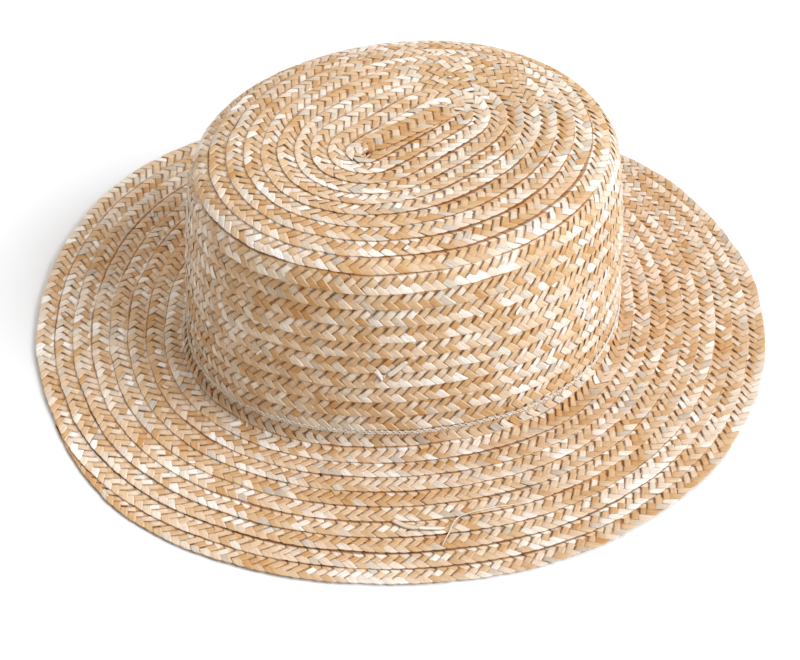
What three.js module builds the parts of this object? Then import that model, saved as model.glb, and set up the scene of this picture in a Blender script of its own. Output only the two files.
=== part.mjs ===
// Flat-topped oval straw hat (boater style), sewn from one long strip of four-end
// straw plait. The strip starts as a straight fold at the centre of the tip, runs
// outwards clockwise (seen from above) in overlapping rows, turns down over the
// rim, runs down the side of the crown and out over the brim, and ends in a
// tapered tail that is tucked in at the edge of the brim.
//
// Units are millimetres, +Z up, +Y towards the front of the head, +X to the
// wearer's right. z = 0 is the plane that the underside of the brim edge rests on
// and the origin is under the middle of the brim's bounding box.
//
// Every shell is drawn as a plain solid in the hat's own chart and then laid on
// the hat: the chart's coordinates are the row number counted along the strip
// (rho), the angle around the oval (t) and the height above the outer surface (h).

import * as THREE from 'three';

// ---------------------------------------------------------------- dimensions
const LIFT = 6.9;            // height of the crown/brim corner above the rest plane
const ROW_RIM = 9.81;        // row number at the rim between tip and side
const ROW_BASE = 20.81;      // row number at the corner between side and brim
const ROW_END = 30.0;        // row number of the outer edge where the strip ends
const END_ANGLE = -157.0;    // polar angle of that end, degrees, measured as 'alpha'
const OVAL_TURN = 45.0;      // alpha of the oval's long axis
const START_HALF = 22.5;     // half length of the straight fold at the tip's centre
const A_RIM = 86.7, B_RIM = 78.4;     // half axes of the oval at the rim
const A_BASE = 97.2, B_BASE = 89.2;   // half axes of the oval at the crown's base
const BASE_FLAT = 0.038;     // how much the base oval is flattened between its axes
const EDGE_DROP = 4.6;       // fall of the brim from the crown to its edge
const EDGE_REACH = 60.0;     // brim width over which it falls
const BACK_RAISE = 6.0;      // lift of one stretch of the brim's edge
const RAISE_AT = 135.0, RAISE_HALF = 75.0;   // alpha of that stretch, half width
const STRAW = 2.0;           // thickness of the sewn plait where rows overlap
const GAP = 0.3;             // clearance between neighbouring pieces
const PLAIT_WIDTH = 9.0;     // width of the first stretch, before it is drawn tight
const THREAD_R = 0.28;       // radius of the sewing thread
const BAND_HEIGHT = 28.0;    // height of the sweatband
const BAND_THICK = 0.9;      // thickness of the sweatband

// crown profile: row number, half width on the short axis, height above the corner
const PROFILE = [
  [0.00, 0.0, 86.6], [3.00, 24.0, 86.6], [4.81, 38.5, 86.4], [5.81, 46.5, 86.0],
  [6.81, 54.5, 85.3], [7.81, 62.5, 84.0], [8.81, 70.6, 81.9], [9.45, 75.6, 80.0],
  [9.81, 78.1, 78.4], [10.15, 80.0, 76.2], [10.55, 81.3, 73.5], [11.00, 82.2, 70.3],
  [14.00, 85.2, 49.2], [17.00, 87.3, 28.2], [19.50, 88.4, 10.8], [20.30, 88.8, 5.2],
  [20.60, 89.2, 3.1], [20.81, 89.9, 1.7], [21.10, 91.5, 0.5],
];
// brim: alpha in degrees, width of one row there
const ROW_WIDTH = [
  [-157, 7.22], [-122, 7.19], [-107, 7.41], [-90, 7.57], [-66, 7.49], [-48, 7.14],
  [-23, 6.94], [-8, 6.85], [8, 6.81], [23, 6.62], [37, 6.66], [49, 6.83], [90, 7.30],
  [131, 7.83], [143, 7.94], [156, 7.92], [172, 7.78], [188, 7.53], [203, 7.22],
];

const RAD = Math.PI / 180;

// cubic through points with finite-difference tangents
function spline(xs, ys, x) {
  const n = xs.length;
  if (x <= xs[0]) return ys[0] + (x - xs[0]) * (ys[1] - ys[0]) / (xs[1] - xs[0]);
  if (x >= xs[n - 1]) return ys[n - 1] + (x - xs[n - 1]) * (ys[n - 1] - ys[n - 2]) / (xs[n - 1] - xs[n - 2]);
  let i = 0;
  while (x > xs[i + 1]) i++;
  const h = xs[i + 1] - xs[i], s = (x - xs[i]) / h;
  const slope = (k) => (k <= 0 ? (ys[1] - ys[0]) / (xs[1] - xs[0])
    : k >= n - 1 ? (ys[n - 1] - ys[n - 2]) / (xs[n - 1] - xs[n - 2])
      : (ys[k + 1] - ys[k - 1]) / (xs[k + 1] - xs[k - 1]));
  const s2 = s * s, s3 = s2 * s;
  return (2 * s3 - 3 * s2 + 1) * ys[i] + (s3 - 2 * s2 + s) * h * slope(i)
    + (-2 * s3 + 3 * s2) * ys[i + 1] + (s3 - s2) * h * slope(i + 1);
}
const wrap = (alpha) => ((alpha - END_ANGLE) % 360 + 360) % 360 + END_ANGLE;

const pRow = PROFILE.map((p) => p[0]), pB = PROFILE.map((p) => p[1]), pZ = PROFILE.map((p) => p[2]);
const wA = ROW_WIDTH.map((p) => p[0]), wP = ROW_WIDTH.map((p) => p[1]);

function raise(alpha) {
  let d = wrap(alpha) - RAISE_AT;
  if (d < -180) d += 360;
  if (d > 180) d -= 360;
  if (Math.abs(d) >= RAISE_HALF) return 0;
  const c = Math.cos(Math.PI / 2 * d / RAISE_HALF);
  return BACK_RAISE * c * c;
}
// row number of the brim's outer edge, before the tail's taper
const edgeRow = (alpha) => ROW_END - (wrap(alpha) - END_ANGLE) / 360;

// a point of the outer surface: rows rho out from the start, oval angle t (degrees)
function surface(rho, t) {
  const c = Math.cos(t * RAD), s = Math.sin(t * RAD);
  const rr = Math.min(rho, 21.1);
  const b = spline(pRow, pB, rr);
  let ab;
  if (rho <= ROW_RIM) ab = START_HALF + (A_RIM - B_RIM - START_HALF) * rho / ROW_RIM;
  else ab = (A_RIM - B_RIM) + (A_BASE - B_BASE - A_RIM + B_RIM) * Math.min(1, (rho - ROW_RIM) / (ROW_BASE - ROW_RIM));
  if (rho < 2) ab *= rho / 2;               // close the centre of the tip
  const flat = rho <= ROW_RIM ? 0 : BASE_FLAT * Math.min(1, (rho - ROW_RIM) / (ROW_BASE - ROW_RIM));
  let x = (b + ab) * c, y = b * s;
  const th = Math.atan2(y, x);
  const k = 1 - flat * (1 - Math.cos(4 * th)) / 2;
  x *= k; y *= k;
  let z = spline(pRow, pZ, rr);
  if (rho > 21.1) {
    const alpha = wrap(th / RAD + OVAL_TURN);
    const w = spline(wA, wP, alpha);
    const d = (rho - 21.1) * w;
    const r = Math.hypot(x, y);
    x *= (r + d) / r; y *= (r + d) / r;
    const f = d / EDGE_REACH;
    z = 0.5 - (EDGE_DROP + 0.5) * Math.min(1, 1.15 * f - 0.15 * f * f)
      + raise(alpha) * Math.pow(Math.min(1.1, f), 1.6);
  }
  return [x, y, z];
}
// the same, h above the surface along its normal
function chart(rho, t, h) {
  const p = surface(rho, t);
  if (h === 0) return p;
  const e = 0.02, f = 0.5;
  const r0 = Math.max(0.3, rho);
  const a = surface(r0 - e, t), b = surface(r0 + e, t), c = surface(r0, t - f), d = surface(r0, t + f);
  const u = [b[0] - a[0], b[1] - a[1], b[2] - a[2]], v = [d[0] - c[0], d[1] - c[1], d[2] - c[2]];
  const n = [u[1] * v[2] - u[2] * v[1], u[2] * v[0] - u[0] * v[2], u[0] * v[1] - u[1] * v[0]];
  const l = Math.hypot(...n) || 1;
  return [p[0] + h * n[0] / l, p[1] + h * n[1] / l, p[2] + h * n[2] / l];
}
// angle t at which a given alpha lies on the brim
function tOf(alpha) {
  let t = wrap(alpha) - OVAL_TURN;
  for (let k = 0; k < 12; k++) {
    const p = surface(21.1, t);
    let d = (wrap(alpha) - OVAL_TURN) - Math.atan2(p[1], p[0]) / RAD;
    d = ((d + 180) % 360 + 360) % 360 - 180;
    t += d;
  }
  return t;
}

// ------------------------------------------------ centre of the brim's outline
const tailCut = (alpha) => {       // rows that the tail's taper takes off the edge
  const d = (-118 - wrap(alpha)) / 39;
  if (d <= 0) return 0;
  const s = Math.min(1, d);
  return 0.98 * s * s * (3 - 2 * s);
};
let lo = [1e9, 1e9], hi = [-1e9, -1e9];
for (let k = 0; k < 720; k++) {
  const alpha = END_ANGLE + 0.25 + k / 2;
  const p = surface(edgeRow(alpha) - tailCut(alpha), tOf(alpha));
  for (let i = 0; i < 2; i++) { lo[i] = Math.min(lo[i], p[i]); hi[i] = Math.max(hi[i], p[i]); }
}
const CX = (lo[0] + hi[0]) / 2, CY = (lo[1] + hi[1]) / 2;
// oval frame (long axis x, short axis y) to the hat's frame
const place = (p) => new THREE.Vector3(-(p[1] - CY), p[0] - CX, p[2] + LIFT);

// ----------------------------------------------------------------- builders
function laid(geometry, fn) {
  const pos = geometry.getAttribute('position');
  for (let i = 0; i < pos.count; i++) {
    const v = fn(pos.getX(i), pos.getY(i), pos.getZ(i), i);
    pos.setXYZ(i, v.x, v.y, v.z);
  }
  geometry.deleteAttribute('normal');
  geometry.deleteAttribute('uv');
  geometry.computeVertexNormals();
  return geometry;
}
// a ring or disc: a closed profile turned once around, then laid on the hat
function ring(profileAt, points, stations) {
  const n = stations.length;
  const flat = [];
  for (let j = 0; j < points; j++) flat.push(new THREE.Vector2(1 + (j % (points - 1)), j % (points - 1)));
  const g = new THREE.LatheGeometry(flat, n);
  return laid(g, (x, y, z, i) => profileAt((Math.floor(i / points)) % n, i % points));
}
// an open strip: a section (u, v) drawn out over w = 0..1 and laid on the hat
function strip(outline, steps, fn) {
  const shape = new THREE.Shape(outline.map((p) => new THREE.Vector2(p[0], p[1])));
  const g = new THREE.ExtrudeGeometry(shape, { steps, depth: 1, bevelEnabled: false });
  return laid(g, (u, v, w) => fn(u, v, w));
}
const group = new THREE.Group();
function add(name, geometry, color, roughness) {
  const mesh = new THREE.Mesh(geometry, new THREE.MeshStandardMaterial({ color, roughness, metalness: 0 }));
  mesh.name = name;
  group.add(mesh);
  return mesh;
}
const even = (n) => Array.from({ length: n }, (_, i) => -360 * i / n);
const dRow = GAP / 7.3;      // the clearance, as a part of a row

// ------------------------------------------------------------ tip of the crown
{
  const st = even(48);
  const top = [0, 2.4, 5.4, 6.8, 7.8, 8.8, 9.45, ROW_RIM - dRow];
  const bottom = [9.45, 8.4, 7.0, 5.0, 0];
  const prof = [...top.map((r) => [r, 0]), [ROW_RIM - dRow, -STRAW], ...bottom.map((r) => [r, -STRAW])];
  const n = prof.length;
  const flat = prof.map((p) => new THREE.Vector2(p[0], p[1]));
  const g = new THREE.LatheGeometry(flat, st.length);
  laid(g, (x, y, z, i) => {
    const [r, h] = prof[i % n];
    if (r === 0) return place([0, 0, PROFILE[0][2] + h]);
    return place(r < 5.5 ? [...surface(r, st[Math.floor(i / n) % st.length]).slice(0, 2), PROFILE[0][2] + h]
      : chart(r, st[Math.floor(i / n) % st.length], h));
  });
  add('crown_tip_plait', g, 0xd8b98a, 0.55);
}

// ----------------------------------------------------------- side of the crown
{
  const st = even(48);
  const r0 = ROW_RIM + dRow, r1 = ROW_BASE - 0.02;
  const outer = [r0, 10.15, 10.55, 11.2, 14.5, 18.0, 20.3, r1];
  const inner = [r1, 20.3, 18.0, 14.5, 11.2, 10.5, r0];
  const prof = [...outer.map((r) => [r, 0]), ...inner.map((r) => [r, -STRAW])];
  prof.push(prof[0]);
  add('crown_side_plait', ring((i, j) => place(chart(prof[j][0], st[i], prof[j][1])), prof.length, st), 0xd3b184, 0.55);
}

// ------------------------------------------------------------------- the brim
const brimTop = (rho, alpha) => surface(rho, tOf(alpha));
{
  // the rows run out as a spiral, so the outline has a step where a turn ends
  const st = [];
  for (let k = 0; k < 48; k++) st.push(END_ANGLE + 359.5 - 359.5 * k / 47);
  const thick = 1.8;
  const at = (i, j) => {
    const alpha = st[i];
    const out = (i === 47 ? ROW_END - 1 : edgeRow(alpha) - 1) - dRow;
    const inn = ROW_BASE + 0.36;
    const f = [[0, 0], [0.33, 0], [0.66, 0], [1, 0], [1, 1], [0.66, 1], [0.33, 1], [0, 1], [-1, 1], [-1, 0]][j % 10];
    if (f[0] < 0) return place(chart(ROW_BASE + 0.025, tOf(alpha), f[1] ? -thick : 0));
    const p = brimTop(inn + (out - inn) * f[0], alpha);
    if (f[1]) p[2] -= thick;
    return place(p);
  };
  add('brim_plait', ring((i, j) => at(i, j), 11, st), 0xd6b588, 0.55);
}
// outermost turn of the plait, flat underneath where the hat rests on it
const edgeBottom = (alpha, rho) => raise(alpha) * Math.pow((rho - 21.1) / (edgeRow(alpha) - 21.1), 1.6) - LIFT;
{
  const from = END_ANGLE + 359.0, to = -118.0;
  const g = strip([[0, 0], [0.55, 0], [1, 0], [1, 1], [0.45, 1], [0, 1]], 60, (u, v, w) => {
    const alpha = from + (to - from) * w;
    const r0 = edgeRow(alpha) - 1 + dRow, r1 = edgeRow(alpha);
    const rho = r0 + (r1 - r0) * u;
    const p = brimTop(rho, alpha);
    if (v < 0.5) p[2] = edgeBottom(alpha, rho);
    else if (u === 1) p[2] -= 0.5;
    return place(p);
  });
  add('brim_edge_plait', g, 0xd0ab7a, 0.55);
}
// the last stretch of the plait, drawn in and tapered
{
  const from = -118.25, to = END_ANGLE + 0.6;
  const g = strip([[0, 0], [1, 0], [1, 1], [0, 1]], 12, (u, v, w) => {
    const alpha = from + (to - from) * w;
    const r0 = edgeRow(alpha) - 1 + dRow, r1 = Math.max(edgeRow(alpha) - tailCut(alpha), r0 + 0.12);
    const rho = r0 + (r1 - r0) * u;
    const p = brimTop(rho, alpha);
    if (v < 0.5) p[2] = edgeBottom(alpha, rho);
    else if (u === 1) p[2] -= 0.5;
    return place(p);
  });
  add('plait_end_tail', g, 0xcaa472, 0.55);
}
// the first stretch of the plait, folded under the middle of the tip
{
  const zTop = PROFILE[0][2] - STRAW - GAP;
  const g = strip([[-1, -1], [1, -1], [1, 1], [-1, 1]], 8, (u, v, w) => {
    const half = PLAIT_WIDTH / 2 * (w < 0.01 || w > 0.99 ? 0.7 : 1);
    return place([START_HALF * 0.95 * (2 * w - 1), half * u, zTop - 0.6 + 0.6 * v]);
  });
  add('plait_start_tail', g, 0xccab7b, 0.55);
}

// --------------------------------------------------------------- sewing thread
// one long line of stitches, seen on the inside, near the outer edge of each row
function thread(name, row0, row1, perTurn, fn) {
  const turns = row1 - row0, steps = Math.round(turns * perTurn);
  const g = strip([[0, 1], [-0.866, -0.5], [0.866, -0.5]], steps, (u, v, w) => {
    const rho = row0 + turns * w;
    const alpha = END_ANGLE - 360 * (rho - ROW_END + 0.35);
    return fn(rho, alpha, u * THREAD_R, v * THREAD_R);
  });
  return add(name, g, 0xe9dcc0, 0.7);
}
thread('tip_thread', 1.9, 9.45, 24, (rho, alpha, u, v) => place(chart(rho + u / 7.3, alpha - OVAL_TURN, -STRAW - GAP - THREAD_R + v)));
thread('side_thread', 10.75, 20.2, 24, (rho, alpha, u, v) => place(chart(rho + u / 7.3, alpha - OVAL_TURN, -STRAW - GAP - 0.15 - THREAD_R + v)));
thread('brim_thread', 21.4, 28.4, 24, (rho, alpha, u, v) => {
  const p = brimTop(rho + u / 7.3, alpha);
  return place([p[0], p[1], p[2] - 1.8 - 0.25 - THREAD_R + v]);
});

// -------------------------------------------------------------------- sweatband
const BAND_OUT = STRAW + 2.2;
const bandLow = 20.28, bandTop = bandLow - BAND_HEIGHT / 7.02;
{
  const g = strip([[0, 0], [1, 0], [1, 1], [0, 1]], 48, (u, v, w) => {
    const t = 180 - 0.5 - 359 * w;
    return place(chart(bandTop + (bandLow - bandTop) * u, t, -BAND_OUT - BAND_THICK * (1 - v)));
  });
  add('sweatband', g, 0xe7dcc6, 0.85);
}
{
  const g = strip([[0, 0], [1, 0], [1, 1], [0, 1]], 4, (u, v, w) => {
    const t = 187 - 14 * w;
    return place(chart(bandTop + 0.1 + (bandLow - bandTop - 0.2) * u, t, -BAND_OUT - BAND_THICK - GAP - BAND_THICK * (1 - v)));
  });
  add('sweatband_lap', g, 0xe2d6be, 0.85);
}
// the stitches that hold the sweatband, seen on the outside just above the brim
{
  const st = even(48);
  const prof = [[-0.05, GAP], [0.0, GAP + 0.45], [0.05, GAP], [-0.05, GAP]];
  add('sweatband_thread', ring((i, j) => place(chart(19.95 + prof[j][0], st[i], prof[j][1])), 4, st), 0xeadfc6, 0.7);
}

export default group;
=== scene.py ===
import math

import bpy
import numpy as np
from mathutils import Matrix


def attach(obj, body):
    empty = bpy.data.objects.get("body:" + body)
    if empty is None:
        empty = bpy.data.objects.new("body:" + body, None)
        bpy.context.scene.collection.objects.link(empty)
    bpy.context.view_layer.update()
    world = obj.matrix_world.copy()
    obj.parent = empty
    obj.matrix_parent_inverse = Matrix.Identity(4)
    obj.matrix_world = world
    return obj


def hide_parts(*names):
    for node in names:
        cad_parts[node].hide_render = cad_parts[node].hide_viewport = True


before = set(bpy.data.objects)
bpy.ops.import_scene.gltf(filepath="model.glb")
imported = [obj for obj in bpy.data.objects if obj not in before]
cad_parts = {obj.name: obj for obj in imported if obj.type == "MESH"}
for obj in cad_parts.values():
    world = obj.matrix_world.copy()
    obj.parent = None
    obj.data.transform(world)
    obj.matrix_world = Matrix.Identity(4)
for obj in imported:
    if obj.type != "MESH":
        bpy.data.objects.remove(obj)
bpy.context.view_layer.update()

# Flat-topped straw hat sewn from one strip of four-end plait. Every straw of the
# strip is built as a thin closed ribbon. Lengths here are in millimetres, and
# put() turns them into metres in the frame of the CAD model.

# ------------------------------------------------ the hat's surface (as the CAD)
LIFT, ROW_RIM, ROW_BASE, ROW_END, END_ANGLE = 6.9, 9.81, 20.81, 30.0, -157.0
OVAL_TURN, START_HALF = 45.0, 22.5
A_RIM, B_RIM, A_BASE, B_BASE, BASE_FLAT = 86.7, 78.4, 97.2, 89.2, 0.038
EDGE_DROP, EDGE_REACH, BACK_RAISE, RAISE_AT, RAISE_HALF = 4.6, 60.0, 6.0, 135.0, 75.0
PROFILE = np.array([
    (0.00, 0.0, 86.6), (3.00, 24.0, 86.6), (4.81, 38.5, 86.4), (5.81, 46.5, 86.0),
    (6.81, 54.5, 85.3), (7.81, 62.5, 84.0), (8.81, 70.6, 81.9), (9.45, 75.6, 80.0),
    (9.81, 78.1, 78.4), (10.15, 80.0, 76.2), (10.55, 81.3, 73.5), (11.00, 82.2, 70.3),
    (14.00, 85.2, 49.2), (17.00, 87.3, 28.2), (19.50, 88.4, 10.8), (20.30, 88.8, 5.2),
    (20.60, 89.2, 3.1), (20.81, 89.9, 1.7), (21.10, 91.5, 0.5)])
ROW_WIDTH = np.array([
    (-157, 7.22), (-122, 7.19), (-107, 7.41), (-90, 7.57), (-66, 7.49), (-48, 7.14),
    (-23, 6.94), (-8, 6.85), (8, 6.81), (23, 6.62), (37, 6.66), (49, 6.83), (90, 7.30),
    (131, 7.83), (143, 7.94), (156, 7.92), (172, 7.78), (188, 7.53), (203, 7.22)])
TIP_ROUND = 0.15        # how sharply the innermost rows turn at the ends of the fold


def spline(xs, ys, x):
    """Cubic through points with finite-difference tangents, straight beyond the ends."""
    xs, ys, x = np.asarray(xs, float), np.asarray(ys, float), np.asarray(x, float)
    m = np.empty(len(xs))
    m[1:-1] = (ys[2:] - ys[:-2]) / (xs[2:] - xs[:-2])
    m[0] = (ys[1] - ys[0]) / (xs[1] - xs[0])
    m[-1] = (ys[-1] - ys[-2]) / (xs[-1] - xs[-2])
    i = np.clip(np.searchsorted(xs, x, side="right") - 1, 0, len(xs) - 2)
    h = xs[i + 1] - xs[i]
    s = (x - xs[i]) / h
    s2, s3 = s * s, s * s * s
    v = ((2 * s3 - 3 * s2 + 1) * ys[i] + (s3 - 2 * s2 + s) * h * m[i]
         + (-2 * s3 + 3 * s2) * ys[i + 1] + (s3 - s2) * h * m[i + 1])
    v = np.where(x <= xs[0], ys[0] + (x - xs[0]) * m[0], v)
    return np.where(x >= xs[-1], ys[-1] + (x - xs[-1]) * m[-1], v)


def wrap(alpha):
    return np.mod(alpha - END_ANGLE, 360.0) + END_ANGLE


def raised(alpha):
    d = np.mod(wrap(alpha) - RAISE_AT + 180.0, 360.0) - 180.0
    c = np.cos(np.pi / 2 * d / RAISE_HALF)
    return np.where(np.abs(d) < RAISE_HALF, BACK_RAISE * c * c, 0.0)


def step(a, b, x):
    s = np.clip((x - a) / (b - a), 0.0, 1.0)
    return s * s * (3 - 2 * s)


def surface(rho, t):
    """Point of the outer surface, rows rho out from the start, at oval angle t in degrees."""
    rho, t = np.broadcast_arrays(np.asarray(rho, float), np.asarray(t, float))
    c, s = np.cos(np.radians(t)), np.sin(np.radians(t))
    rr = np.minimum(rho, 21.1)
    b = spline(PROFILE[:, 0], PROFILE[:, 1], rr)
    side = np.clip((rho - ROW_RIM) / (ROW_BASE - ROW_RIM), 0, 1)
    ab = np.where(rho <= ROW_RIM, START_HALF + (A_RIM - B_RIM - START_HALF) * rho / ROW_RIM,
                  (A_RIM - B_RIM) + (A_BASE - B_BASE - A_RIM + B_RIM) * side)
    m = step(1.5, 9.0, rho)
    x0 = (1 - m) * np.tanh(c / TIP_ROUND) + m * c
    x, y = ab * x0 + b * c, b * s
    th = np.arctan2(y, x)
    k = 1 - BASE_FLAT * side * (1 - np.cos(4 * th)) / 2
    x, y = x * k, y * k
    z = spline(PROFILE[:, 0], PROFILE[:, 2], rr)
    out = rho > 21.1
    alpha = wrap(np.degrees(th) + OVAL_TURN)
    d = np.where(out, (rho - 21.1) * spline(ROW_WIDTH[:, 0], ROW_WIDTH[:, 1], alpha), 0.0)
    r = np.hypot(x, y) + 1e-9
    f = d / EDGE_REACH
    zb = (0.5 - (EDGE_DROP + 0.5) * np.minimum(1, 1.15 * f - 0.15 * f * f)
          + raised(alpha) * np.power(np.clip(f, 0, 1.1), 1.6))
    return np.stack([x * (r + d) / r, y * (r + d) / r, np.where(out, zb, z)], -1)


def normal(rho, t):
    e, f = 0.02, 0.5
    r0 = np.maximum(rho, 1.0)
    u = surface(r0 + e, t) - surface(r0 - e, t)
    v = surface(r0, t + f) - surface(r0, t - f)
    n = np.cross(u, v)
    n /= np.linalg.norm(n, axis=-1, keepdims=True) + 1e-12
    w = step(3.5, 5.0, rho)[..., None]
    n = n * w + np.array([0, 0, 1.0]) * (1 - w)
    return n / np.linalg.norm(n, axis=-1, keepdims=True)


def chart(rho, t, h):
    return surface(rho, t) + normal(rho, t) * np.asarray(h)[..., None]


def tail_cut(alpha):
    s = np.clip((-118 - wrap(alpha)) / 39, 0, 1)
    return 0.98 * s * s * (3 - 2 * s)


# the middle of the brim's outline is the CAD's origin
_al = END_ANGLE + 0.25 + np.arange(720) / 2
_t = _al - OVAL_TURN
for _k in range(12):
    _p = surface(21.1, _t)
    _d = (_al - OVAL_TURN) - np.degrees(np.arctan2(_p[:, 1], _p[:, 0]))
    _t = _t + (np.mod(_d + 180, 360) - 180)
_p = surface(ROW_END - (_al - END_ANGLE) / 360 - tail_cut(_al), _t)
CX, CY = (_p[:, 0].min() + _p[:, 0].max()) / 2, (_p[:, 1].min() + _p[:, 1].max()) / 2


def put(p):
    """Oval frame in mm to the object's frame in metres."""
    z = np.maximum(p[..., 2] + LIFT, 0.02 + 0.15 * np.tanh(np.maximum(p[..., 2] + LIFT, -1) + 1))
    return np.stack([-(p[..., 1] - CY), p[..., 0] - CX, z], -1) / 1000


def noise1(x, seed, scale):
    """Smooth seeded noise from -1 to 1 with one knot every scale."""
    x = np.asarray(x, float) / scale + 5000.0
    i = np.floor(x).astype(np.int64)
    f = x - i
    f = f * f * (3 - 2 * f)

    def h(k):
        v = np.sin(k * 12.9898 + seed * 78.233) * 43758.5453
        return 2 * (v - np.floor(v)) - 1
    return h(i) * (1 - f) + h(i + 1) * f


# --------------------------------------------------------------- the strip's path
ENDS, STITCH = 4, 4.28              # straws in the plait, and the length of one stitch
TRIP = ENDS * STITCH / 2                     # width crossed by a straw between two folds
LAYER = 0.145                                # half the gap between the plait's two layers
HALF = (TRIP - (math.pi - 2) * LAYER) / 2    # half width of the plait
BOW, STRAW_T, STRAW_W = 0.18, 0.14, 3.22
MID = LAYER + BOW + STRAW_T / 2              # half thickness of the plait
STACK = 0.52                                 # how much a row lies under the one before it
FIRST = 0.46

_R = np.arange(FIRST, ROW_END + 1e-6, 1 / 720)
_T = END_ANGLE - 360 * (_R - ROW_END) - OVAL_TURN


def pitch_at(rho, t):
    a, b = surface(rho - 0.3, t), surface(rho + 0.3, t)
    return np.linalg.norm(b - a, axis=-1) / 0.6


_c = surface(np.maximum(_R - HALF / 7.4, 0.12), _T)
_S = np.concatenate([[0], np.cumsum(np.linalg.norm(np.diff(_c, axis=0), axis=-1))])
LENGTH = _S[-1]


def lay(s, q, h):
    """Strip coordinates (along, across, height above its middle) to the oval frame."""
    R = np.interp(s, _S, _R)
    t = END_ANGLE - 360 * (R - ROW_END) - OVAL_TURN
    wav = 0.26 * noise1(s, 3, 37) + 0.25 * noise1(s, 4, 13) + 0.20 * noise1(s, 5, 4.9)
    cut = tail_cut(np.where(R > 29.5, END_ANGLE - 360 * (R - ROW_END), 0.0))
    q = q * (1 - 0.45 * np.clip(cut, 0, 1)) + wav * step(0, 60, s)
    pit = pitch_at(np.maximum(R - 0.4, 0.6), t)
    rho = R - cut + (q - HALF * (1 - 0.45 * np.clip(cut, 0, 1))) / pit
    rho = np.where(rho < 0.25, 0.25 * np.exp((np.minimum(rho, 0.25) - 0.25) / 0.5), rho)
    lean = STACK / pit * (1 + 0.0 * q)
    hh = -MID + (q - HALF) * lean + h - 0.85 * STACK * cut
    hh = hh + 0.10 * noise1(s, 6, 23) + 0.10 * np.clip((q - 0.55 * HALF) / (0.45 * HALF), 0, 1) ** 2 - 0.10
    hh = hh - 0.65 * step(27.0, 29.4, R)          # the edge row rests on its fold
    return chart(rho, t, hh)


# ------------------------------------------------------------------- the straws
VJ = np.array([-1, -0.5, 0, 0.5, 1, 0.62, 0, -0.62])       # across the ribbon
NJ = np.array([0, 1, 1, 1, 0, -1, -1, -1.0])               # which of its faces
GJ = np.array([0, 0.85, 1, 0.85, 0, 0.75, 1, 0.75])        # its thickness there
# stations over one trip from fold to fold, in distance crossed. Going outwards a
# straw lies under, over and under the others; coming back over, under and over
WRAP = math.pi * LAYER / 2
DIVE_IN, DIVE_OUT = 1.62, 1.38      # where a straw changes layer, towards the inner and the outer edge
_q = [-TRIP / 2, -TRIP / 2 + 0.5 * WRAP, -TRIP / 2 + WRAP, -DIVE_IN - 0.58, -DIVE_IN - 0.10, -DIVE_IN + 0.50,
      DIVE_OUT - 0.50, DIVE_OUT + 0.10, DIVE_OUT + 0.58, TRIP / 2 - WRAP, TRIP / 2 - 0.5 * WRAP]
QS = np.array(_q)
QS_BACK = np.array([_q[0]] + [-x for x in _q[:0:-1]])
SKEW = np.array([0, 0, 0, 1, 1, 1, 1, 1, 1, 0, 0.0])
# colours, dark to light: the glossy outer side of the straw and its paler pith side
SHADES = np.array([(0.56, 0.290, 0.105), (0.60, 0.350, 0.155), (0.64, 0.410, 0.220), (0.70, 0.490, 0.305),
                   (0.76, 0.585, 0.425), (0.83, 0.705, 0.580), (0.90, 0.820, 0.730)])
GLOSSY_P = np.cumsum([0.06, 0.20, 0.27, 0.23, 0.13, 0.08, 0.03])
PITH_P = np.cumsum([0.02, 0.08, 0.20, 0.27, 0.21, 0.15, 0.07])
GREY = np.array((0.77, 0.675, 0.555))
ERF = np.vectorize(math.erf)


def shade(k, m, side, total):
    """Colour of straw k on trips m: it keeps to a tone for a few trips, and neighbours share one a little."""
    g = np.random.default_rng(400 + 17 * k + side)
    run = []
    while len(run) < total:
        run += [g.normal()] * int(g.integers(2, 7))
    run = np.array(run[:total])
    own, grey = g.normal(0, 1, total), g.random(total)
    m = np.clip(m, 0, total - 1)
    place_ = m * TRIP + k * STITCH
    near = 1.6 * (noise1(place_, 60 + side, 15) + 0.6 * noise1(place_, 62 + side, 41))
    v = 0.58 * run[m] + 0.66 * near + 0.44 * own[m]
    u = 0.5 * (1 + ERF(v / 1.0 / math.sqrt(2)))
    cum = PITH_P if side else GLOSSY_P
    x = np.interp(u, np.concatenate([[0], cum]), np.arange(8) - 0.5)
    x = np.clip(x, 0, 6)
    i = np.clip(np.floor(x), 0, 5).astype(int)
    f = (x - i)[..., None]
    c = SHADES[i] * (1 - f) + SHADES[i + 1] * f
    gr = (grey[m] < (0.16 if side else 0.06)).astype(float)[..., None] * 0.75
    return c * (1 - gr) + GREY * gr * (0.85 + 0.3 * own[m][..., None] * 0.3)


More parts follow.
